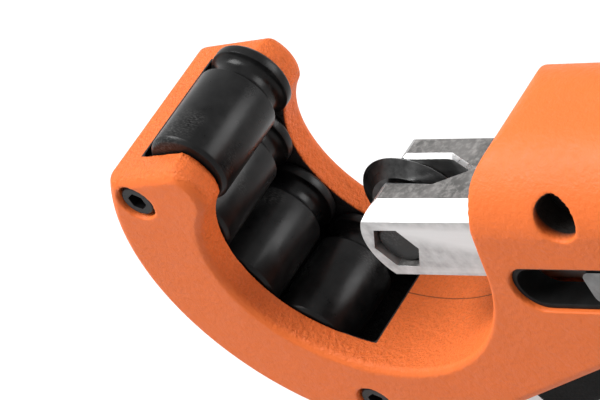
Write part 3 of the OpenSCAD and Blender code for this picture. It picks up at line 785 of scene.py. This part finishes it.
class CUTTER_OT_slide(bpy.types.Operator):
    """Mills the sliding fork from its node, with ground bevels and sides and a scaled top; the bevels get a
    much lighter steel as painted highlight
    """

    bl_idname = "cutter.slide"
    bl_label = "Slide"

    def execute(self, context):
        settings = context.scene.cutter_slide
        piece = cad_copy("slide", "milled_slide")
        flat_faces(piece)
        slack = 0.02 * MM
        half = settings.gap / 2 + slack
        top = reach("slide").z / 2
        choose(piece, "EDGE", lambda place: abs(place.y) < half and abs(abs(place.z) - top) < slack)
        bpy.ops.mesh.bevel(offset=settings.mouth, segments=1, affect="EDGES", clamp_overlap=False)
        bpy.ops.object.mode_set(mode="OBJECT")
        soften(piece, settings.edge)
        dress(piece, "ground_steel", "slide", "slide", flat=True)
        piece.data.materials.append(finish_of("scaled_steel"))
        piece.data.materials.append(finish_of("chamfer_highlight_steel"))
        # Slanted bevel and gap-chamfer faces: ground chamfers, made much lighter as painted highlight.
        scaled, bright = 1, 2
        for face in piece.data.polygons:
            upright = abs(face.normal.z)
            if upright > 0.95:
                face.material_index = scaled
            elif upright > 0.2 and abs(face.normal.y) > 0.2:
                face.material_index = bright
        return {"FINISHED"}


class CUTTER_OT_wheel(bpy.types.Operator):
    """Turns the cutting wheel, and chamfers the head and the nut of its bolt"""

    bl_idname = "cutter.wheel"
    bl_label = "Wheel and bolt"

    def execute(self, context):
        settings = context.scene.cutter_slide
        radius = reach("cutter_wheel").x / 2
        hub_half = reach("cutter_wheel").y / 2
        disc = settings.disc / 2
        edge = 0.06 * MM
        root = radius - settings.grind
        profile = [
            (settings.bore, -hub_half), (settings.hub, -hub_half), (settings.hub, -disc), (root, -disc),
            (radius, -edge), (radius, edge), (root, disc), (settings.hub, disc), (settings.hub, hub_half),
            (settings.bore, hub_half), (settings.bore, -hub_half)]
        wheel = turned("ground_wheel", middle("cutter_wheel"), AXIS_Y, profile, 2 * RING_SIDES)
        soften(wheel, 0.12 * MM, 40)
        dress(wheel, "wheel_steel", "wheel", "cutter_wheel")
        self.chamfered("wheel_bolt", -1, "black_oxide", settings.hex_chamfer)
        self.chamfered("wheel_nut", 1, "plated_steel", settings.hex_chamfer)
        return {"FINISHED"}

    def chamfered(self, node, side, finish, height):
        """Takes off the hexagon's corners at one end with a turned tool."""
        size = reach(node)
        centre = middle(node)
        flat = size.z / 2
        wide = flat * 1.3
        end = side * size.y / 2
        tool = turned(f"{node}_tool", centre, AXIS_Y,
                      [(flat * 0.93, end), (wide, end - side * height * 2), (wide, -end * 1.1)], closed=False)
        piece = cad_copy(node, f"turned_{node}")
        flat_faces(piece)
        carve(piece, tool, "INTERSECT")
        soften(piece, 0.1 * MM, 28)
        dress(piece, finish, "slide", node, flat=True)


class CUTTER_OT_screws(bpy.types.Operator):
    """Turns one cap screw and copies it to the frame and the knob"""

    bl_idname = "cutter.screws"
    bl_label = "Cap screws"

    def execute(self, context):
        settings = context.scene.cutter_screw
        blank = self.blank(settings, reach("knob_screw").y / 2)
        holes = cad_copy("frame_screws", "screw_places")
        pick(holes)
        bpy.ops.mesh.separate(type="LOOSE")
        places = sorted(context.selected_objects, key=lambda part: self.box(part)[0].x)
        for k, part in enumerate(places, 1):
            low, high = self.box(part)
            head = Vector(((low.x + high.x) / 2, low.y, (low.z + high.z) / 2))
            self.placed(blank, f"frame_screw_{k}", head, (math.pi / 2, 0, 0), high.y - low.y, "frame",
                        "frame_screws")
        for part in places:
            bpy.data.objects.remove(part)
        low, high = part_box("knob_screw")
        self.placed(blank, "knob_cap_screw", Vector((high.x, 0, 0)), (0, math.pi / 2, 0), high.x - low.x,
                    "screw", "knob_screw")
        bpy.data.objects.remove(blank)
        return {"FINISHED"}

    def box(self, part):
        """The lowest and highest corner of a part."""
        places = [vertex.co for vertex in part.data.vertices]
        return (Vector([min(place[i] for place in places) for i in range(3)]),
                Vector([max(place[i] for place in places) for i in range(3)]))

    def blank(self, settings, radius):
        """A cap screw whose head's top is at the origin, with its thread down."""
        chamfer = settings.chamfer
        head = settings.head
        end = -head - 10 * MM
        piece = turned("screw_blank", Vector(), AXIS_Z, [
            (settings.shank - chamfer, end), (settings.shank, end + chamfer), (settings.shank, -head),
            (radius, -head), (radius, -chamfer), (radius - chamfer, 0)], 64, False)
        deselect()
        bpy.ops.mesh.primitive_cylinder_add(
            vertices=6, radius=settings.socket / math.sqrt(3), depth=2 * settings.socket_depth)
        carve(piece, settle(bpy.context.object, "socket_tool"))
        soften(piece, 0.12 * MM, 35)
        return piece

    def placed(self, blank, name, head, turn, length, body, node):
        """A copy of the blank with its shank drawn out to length."""
        piece = copied(blank, name)
        end = min(vertex.co.z for vertex in piece.data.vertices)
        choose(piece, "VERT", lambda place: place.z < end + MM)
        bpy.ops.transform.translate(value=(0, 0, -length - end))
        bpy.ops.object.mode_set(mode="OBJECT")
        piece.location = head
        piece.rotation_euler = turn
        settle(piece, name)
        dress(piece, "screw_black", body, node, flat=True)


class CUTTER_OT_feed(bpy.types.Operator):
    """Cuts the feed screw's thread, turns its collar, and winds the lever's spring"""

    bl_idname = "cutter.feed"
    bl_label = "Feed screw and spring"

    def execute(self, context):
        settings = context.scene.cutter_feed
        self.screw(settings)
        self.spring(settings)
        return {"FINISHED"}

    def screw(self, settings):
        """A thread wound turn by turn, cut off square, with a turned collar and journal behind it."""
        low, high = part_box("feed_screw")
        pitch = settings.pitch
        crest = settings.radius
        root = crest - settings.depth
        flat = pitch / 16
        turns = math.ceil(settings.length / pitch) + 2
        thread = wound("cut_feed_screw", [
            (root, 0), (root, flat), (crest, pitch / 2 - flat), (crest, pitch / 2 + flat),
            (root, pitch - flat), (root, pitch)], pitch, turns, 48, False)
        thread.rotation_euler = (0, math.pi / 2, 0)
        # A turn and a little more lies ahead of the cut, which then misses the rows of points
        thread.location = (low.x - 1.01 * pitch, 0, 0)
        settle(thread, thread.name)
        part_at(thread, low.x, True)
        part_at(thread, low.x + settings.length, False)
        thread.data.validate()
        edit(thread, "VERT")
        bpy.ops.mesh.fill_holes(sides=0)
        bpy.ops.object.mode_set(mode="OBJECT")
        front = settings.length
        rear = front + settings.collar
        radius = reach("feed_screw").y / 2
        end = high.x - low.x
        edge = 0.4 * MM
        shaft = turned("feed_shaft", Vector((low.x, 0, 0)), AXIS_X, [
            (radius - edge, front), (radius, front + edge), (radius, rear - edge), (radius - edge, rear),
            (settings.journal, rear), (settings.journal, end - edge), (settings.journal - edge, end)],
            closed=False)
        joined(thread, shaft)
        dress(thread, "dark_steel", "screw", "feed_screw")

    def spring(self, settings):
        """A round wire wound from the slide's floor to the roof of the pad's hole."""
        low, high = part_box("lever_spring")
        centre = middle("lever_spring")
        wire = settings.wire / 2
        coil = (high.x - low.x) / 2 - wire
        rise = (high.y - low.y - 2 * wire) / settings.turns
        sides = 16
        angles = [2 * math.pi * i / sides for i in range(sides + 1)]
        ring = [(coil + wire * math.cos(a), wire * math.sin(a)) for a in angles]
        piece = wound("wound_lever_spring", ring, rise, settings.turns, 40, True)
        piece.rotation_euler = (math.pi / 2, 0, 0)
        piece.location = (centre.x, high.y - wire, centre.z)
        settle(piece, piece.name)
        dress(piece, "plated_steel", None, "lever_spring", angle=60)
        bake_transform(piece)


class CUTTER_OT_handle(bpy.types.Operator):
    """Moulds the knob and the grip, and breaks the edges of the liner and the lever"""

    bl_idname = "cutter.handle"
    bl_label = "Knob, grip, liner and lever"

    def execute(self, context):
        settings = context.scene.cutter_handle
        for node, name, body, finish in (
            ("knob", "moulded_knob", "screw", "black_plastic"),
            ("grip_pad", "moulded_grip", "frame", "black_rubber"),
        ):
            piece = cad_copy(node, name)
            moulding(piece, settings)
            dress(piece, finish, body, node, angle=60)
        for node, name, body, finish in (
            ("slot_liner", "slot_frame", "frame", "black_plastic"),
            ("release_lever", "milled_lever", "lever", "dark_steel"),
        ):
            piece = cad_copy(node, name)
            flat_faces(piece)
            soften(piece, settings.edge)
            dress(piece, finish, body, node, flat=True)
        return {"FINISHED"}


class CUTTER_OT_plain_nodes(bpy.types.Operator):
    """Finishes the nodes whose own shape is kept"""

    bl_idname = "cutter.plain_nodes"
    bl_label = "Plain pieces"

    def execute(self, context):
        for node, finish in (
            ("roller_pins", "plated_steel"), ("wheel_bush", "sintered_bronze"), ("lever_pin", "plated_steel"),
            ("rear_bush", "sintered_bronze"), ("thrust_washers", "plated_steel"),
        ):
            paint(node, finish)
        return {"FINISHED"}


# Stage


def lamp(name, place, target, size, power):
    """A soft square lamp that looks at a target."""
    data = bpy.data.lights.new(name, "AREA")
    data.energy = power
    data.size = size
    light = bpy.data.objects.new(name, data)
    light.location = place
    light.rotation_euler = (Vector(place) - Vector(target)).to_track_quat("Z", "Y").to_euler()
    bpy.context.scene.collection.objects.link(light)


def seen_share(tree):
    """1 for the rays that show the background: from the camera, off gloss and through glass."""
    path = tree.nodes.new("ShaderNodeLightPath")
    share = path.outputs["Is Camera Ray"]
    for kind in ("Is Glossy Ray", "Is Transmission Ray"):
        most = tree.nodes.new("ShaderNodeMath")
        most.operation = "MAXIMUM"
        tree.links.new(share, most.inputs[0])
        tree.links.new(path.outputs[kind], most.inputs[1])
        share = most.outputs[0]
    return share


class CUTTER_OT_stage(bpy.types.Operator):
    """Sets the floor, the lamps, the white surround and the camera"""

    bl_idname = "cutter.stage"
    bl_label = "Stage"

    def execute(self, context):
        settings = context.scene.cutter_stage
        scene = context.scene
        scene.view_settings.view_transform = "Standard"
        floor_height = cad_box[0].z - 0.05 * MM
        deselect()
        bpy.ops.mesh.primitive_circle_add(
            vertices=64, radius=12, fill_type="NGON", location=(0, 0, floor_height))
        floor = settle(context.object, "floor")
        floor.data.materials.append(self.floor_paper())
        self.surround(scene, settings.ambient)
        target = (0.02, 0, 0)
        lamp("overhead", (-0.4, -0.25, 0.85), target, 0.6, settings.key)
        lamp("knob_side", (0.8, 0.48, 0.15), target, 0.5, settings.side)
        lamp("near_side", (-0.3, -0.85, 0.2), target, 0.7, settings.fill)
        self.camera(scene, settings.lens)
        return {"FINISHED"}

    def floor_paper(self):
        """White paper that keeps a soft shadow near the object and is white to the camera further off."""
        material = bpy.data.materials.new("floor_paper")
        material.use_nodes = True
        tree = material.node_tree
        shader = tree.nodes["Principled BSDF"]
        shader.inputs["Base Color"].default_value = (0.45, 0.45, 0.45, 1)
        shader.inputs["Roughness"].default_value = 0.9
        shader.inputs["Specular IOR Level"].default_value = 0
        shader.inputs["Emission Color"].default_value = (1, 1, 1, 1)
        place = tree.nodes.new("ShaderNodeTexCoord")
        distance = tree.nodes.new("ShaderNodeVectorMath")
        distance.operation = "LENGTH"
        tree.links.new(place.outputs["Object"], distance.inputs[0])
        glow = tree.nodes.new("ShaderNodeMapRange")
        for name, value in (("From Min", 0.3), ("From Max", 1.2), ("To Min", 0.5), ("To Max", 1)):
            glow.inputs[name].default_value = value
        tree.links.new(distance.outputs["Value"], glow.inputs["Value"])
        share = tree.nodes.new("ShaderNodeMath")
        share.operation = "MULTIPLY"
        tree.links.new(seen_share(tree), share.inputs[0])
        tree.links.new(glow.outputs[0], share.inputs[1])
        tree.links.new(share.outputs[0], shader.inputs["Emission Strength"])
        return material

    def surround(self, scene, ambient):
        """An even light, and white where the background shows."""
        world = bpy.data.worlds.new("surround")
        world.use_nodes = True
        scene.world = world
        tree = world.node_tree
        background = tree.nodes["Background"]
        background.inputs["Color"].default_value = (1, 1, 1, 1)
        strength = tree.nodes.new("ShaderNodeMapRange")
        strength.inputs["To Min"].default_value = ambient
        strength.inputs["To Max"].default_value = 1
        tree.links.new(seen_share(tree), strength.inputs["Value"])
        tree.links.new(strength.outputs[0], background.inputs["Strength"])

    def camera(self, scene, lens):
        """The photograph's viewpoint."""
        data = bpy.data.cameras.new("camera")
        data.lens = lens
        data.sensor_width = 36
        data.clip_start = 0.05
        data.clip_end = 100
        camera = bpy.data.objects.new("camera", data)
        right = Vector((0.72344, 0.48293, -0.49337))
        up = Vector((-0.00078, 0.7152, 0.69892))
        back = right.cross(up)
        place = Vector((0.46857, -0.35385, 0.36459))
        turn = Matrix((right, up, back)).transposed().to_4x4()
        camera.matrix_world = Matrix.Translation(place) @ turn
        scene.collection.objects.link(camera)
        scene.camera = camera


OPERATORS = (
    CUTTER_OT_stage, CUTTER_OT_castings, CUTTER_OT_rollers, CUTTER_OT_slide, CUTTER_OT_wheel,
    CUTTER_OT_screws, CUTTER_OT_feed, CUTTER_OT_handle, CUTTER_OT_plain_nodes)


class CUTTER_PT_pieces(bpy.types.Panel):
    """Lists the pieces and their settings"""

    bl_idname = "CUTTER_PT_pieces"
    bl_label = "Pipe cutter"
    bl_space_type = "VIEW_3D"
    bl_region_type = "UI"
    bl_category = "Pipe Cutter"

    def draw(self, context):
        for operator in OPERATORS:
            self.layout.operator(operator.bl_idname)
        for name, group in SETTINGS:
            box = self.layout.box()
            for setting in group.__annotations__:
                box.prop(getattr(context.scene, name), setting)


def register():
    """Registers the settings, the operators and the panel."""
    for name, group in SETTINGS:
        bpy.utils.register_class(group)
        setattr(bpy.types.Scene, name, PointerProperty(type=group))
    for operator in OPERATORS:
        bpy.utils.register_class(operator)
    bpy.utils.register_class(CUTTER_PT_pieces)


def unregister():
    """Takes back what register added."""
    bpy.utils.unregister_class(CUTTER_PT_pieces)
    for operator in reversed(OPERATORS):
        bpy.utils.unregister_class(operator)
    for name, group in reversed(SETTINGS):
        delattr(bpy.types.Scene, name)
        bpy.utils.unregister_class(group)


def main():
    """Builds every piece."""
    register()
    for operator in OPERATORS:
        getattr(bpy.ops.cutter, operator.bl_idname.split(".")[1])()


if __name__ == "__main__":
    main()
